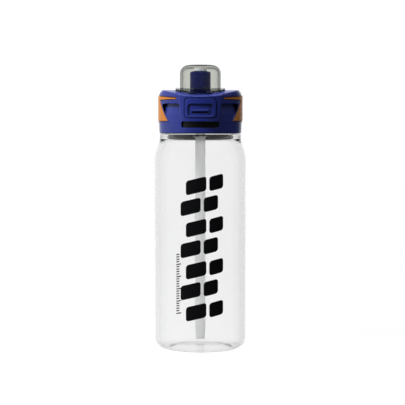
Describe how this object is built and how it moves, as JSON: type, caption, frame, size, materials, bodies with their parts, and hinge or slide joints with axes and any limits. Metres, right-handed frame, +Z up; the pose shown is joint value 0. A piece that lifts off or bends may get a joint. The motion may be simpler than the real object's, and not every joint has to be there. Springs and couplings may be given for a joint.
{
  "type": "sports bottle",
  "caption": "Clear plastic sports bottle with a blue screw lid, orange side inlays, push button, flip-up clear dome over a navy spout, and a straw inside.",
  "frame": {"origin": "centre of the base's standing ring, on the table", "axes": "+Z up along the bottle's axis; the push button faces -Y and the dome's hinge is at +Y"},
  "size_m": [0.073, 0.073, 0.2253],
  "materials": {
    "clear_plastic": "clear, polished",
    "smoke_plastic": "clear, polished, slightly grey",
    "blue_plastic": "satin",
    "navy_plastic": "satin",
    "orange_plastic": "satin",
    "black_plastic": "matt",
    "black_silicone": "matt",
    "milky_silicone": "matt, translucent",
    "straw_plastic": "translucent white",
    "spring_steel": "drawn wire"
  },
  "bodies": {
    "bottle": {"bottle_body": "clear_plastic"},
    "gasket": {"neck_gasket": "milky_silicone"},
    "lid": {"inner_cap": "black_plastic", "plug_seal": "black_silicone", "vent_valve": "milky_silicone", "straw_holder": "black_silicone", "straw": "straw_plastic", "lid_shell": "blue_plastic", "side_inlay_right": "orange_plastic", "side_inlay_left": "orange_plastic", "spout": "navy_plastic", "spout_seal": "black_silicone", "hinge_pin": "spring_steel", "dome_spring": "spring_steel", "button_spring": "spring_steel"},
    "button": {"push_button": "blue_plastic"},
    "dome": {"dome_cover": "smoke_plastic", "dome_stopper": "milky_silicone"}
  },
  "joints": [
    {"name": "lid_rise", "type": "slide", "parent": "bottle", "child": "gasket", "axis": [0, 0, 1], "range_m": [0, 0.00401]},
    {"name": "lid_turn", "type": "hinge", "parent": "gasket", "child": "lid", "pos_m": [0, 0, 0.175], "axis": [0, 0, 1], "range_deg": [0, 360]},
    {"name": "dome_hinge", "type": "hinge", "parent": "lid", "child": "dome", "pos_m": [0, 0.029, 0.20236], "axis": [-1, 0, 0], "range_deg": [0, 125], "deforming": ["dome_spring"]},
    {"name": "button_press", "type": "slide", "parent": "lid", "child": "button", "axis": [0, 1, 0], "range_m": [0, 0.0015], "stiffness_N_per_m": 600, "springref_m": -0.0005, "deforming": ["button_spring"]}
  ],
  "couplings": [
    {"joint": "lid_rise", "follows": "lid_turn", "m_per_rad": 0.00063662}
  ]
}
